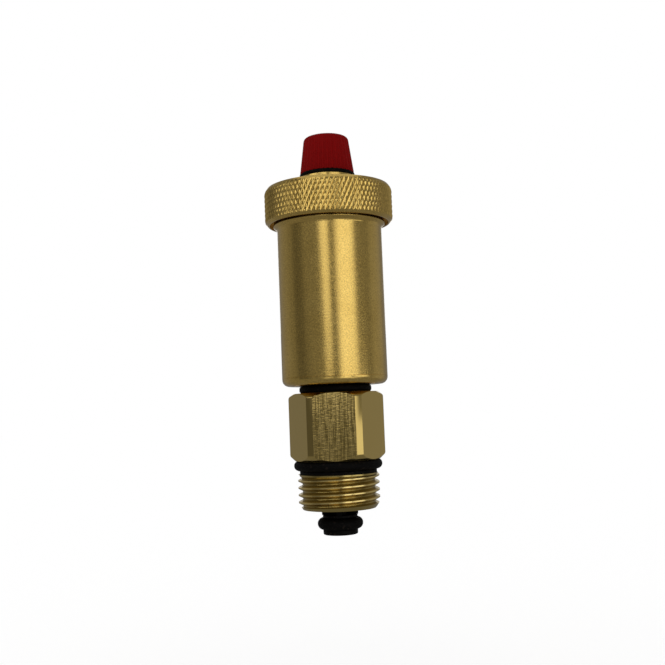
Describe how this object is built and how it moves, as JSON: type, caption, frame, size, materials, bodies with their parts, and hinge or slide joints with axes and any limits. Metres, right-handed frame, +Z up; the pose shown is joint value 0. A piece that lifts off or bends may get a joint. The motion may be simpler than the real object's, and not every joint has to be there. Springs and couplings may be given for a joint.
{
  "type": "air release valve",
  "caption": "Automatic float-type air vent: a brass float chamber with knurled cover and red vent cap, screwed into a hexagonal shut-off check valve with a male thread.",
  "frame": {"origin": "on the valve's axis at the upper end of the inlet thread, level with the face of the boss that it screws into", "axes": "+Z up the axis towards the vent cap, -Y towards the hexagon's front flat"},
  "size_m": [0.0334, 0.0334, 0.1028],
  "materials": {
    "brass": "satin turned brass",
    "red_plastic": "moulded red plastic, satin",
    "black_rubber": "moulded rubber",
    "black_plastic": "moulded black plastic",
    "float_plastic": "moulded natural polypropylene",
    "stainless": "pressed stainless steel"
  },
  "bodies": {
    "valve_side": {"check_valve_body": "brass", "shoulder_o_ring": "black_rubber", "neck_ring": "black_rubber", "poppet_spring": "stainless"},
    "shutter": {"poppet": "black_plastic", "poppet_o_ring": "black_rubber", "spring_plate": "black_plastic"},
    "joint_seal": {"body_o_ring": "black_rubber"},
    "vent_side": {"body": "brass", "cover": "brass", "cover_o_ring": "black_rubber", "vent_nozzle": "brass", "nozzle_o_ring": "black_rubber", "lever_bracket": "stainless", "lever_pin": "stainless", "obturator_spring": "stainless"},
    "cap_washer": {"cap_seal": "black_rubber"},
    "cap_side": {"vent_cap": "red_plastic"},
    "float_side": {"float": "float_plastic", "float_hook": "stainless"},
    "lever_side": {"lever": "stainless"},
    "obturator_side": {"obturator": "brass", "obturator_seal": "black_rubber"}
  },
  "joints": [
    {"name": "poppet_rise", "type": "slide", "parent": "valve_side", "child": "shutter", "axis": [0, 0, 1], "range_m": [0, 0.00267], "deforming": ["poppet_spring"]},
    {"name": "vent_lift", "type": "slide", "parent": "valve_side", "child": "joint_seal", "axis": [0, 0, 1], "range_m": [0, 0.00267]},
    {"name": "vent_unscrew", "type": "hinge", "parent": "joint_seal", "child": "vent_side", "pos_m": [0, 0, 0.02055], "axis": [0, 0, 1], "range_deg": [0, 720]},
    {"name": "cap_lift", "type": "slide", "parent": "vent_side", "child": "cap_washer", "axis": [0, 0, 1], "range_m": [0, 0.005]},
    {"name": "cap_turn", "type": "hinge", "parent": "cap_washer", "child": "cap_side", "pos_m": [0, 0, 0.07675], "axis": [0, 0, 1], "range_deg": [0, 1440]},
    {"name": "float_rise", "type": "slide", "parent": "vent_side", "child": "float_side", "axis": [0, 0, 1], "range_m": [0, 0.0024]},
    {"name": "lever_turn", "type": "hinge", "parent": "vent_side", "child": "lever_side", "pos_m": [-0.005, 0, 0.0656], "axis": [0, -1, 0], "range_deg": [0, 11.46]},
    {"name": "obturator_rise", "type": "slide", "parent": "vent_side", "child": "obturator_side", "axis": [0, 0, 1], "range_m": [0, 0.001], "deforming": ["obturator_spring"]}
  ],
  "couplings": [
    {"joint": "vent_unscrew", "follows": "vent_lift", "rad_per_m": 4699.5},
    {"joint": "poppet_rise", "follows": "vent_lift", "ratio": 1},
    {"joint": "cap_turn", "follows": "cap_lift", "rad_per_m": 5026.5},
    {"joint": "lever_turn", "follows": "float_rise", "rad_per_m": 83.333},
    {"joint": "obturator_rise", "follows": "float_rise", "ratio": 0.41667}
  ]
}
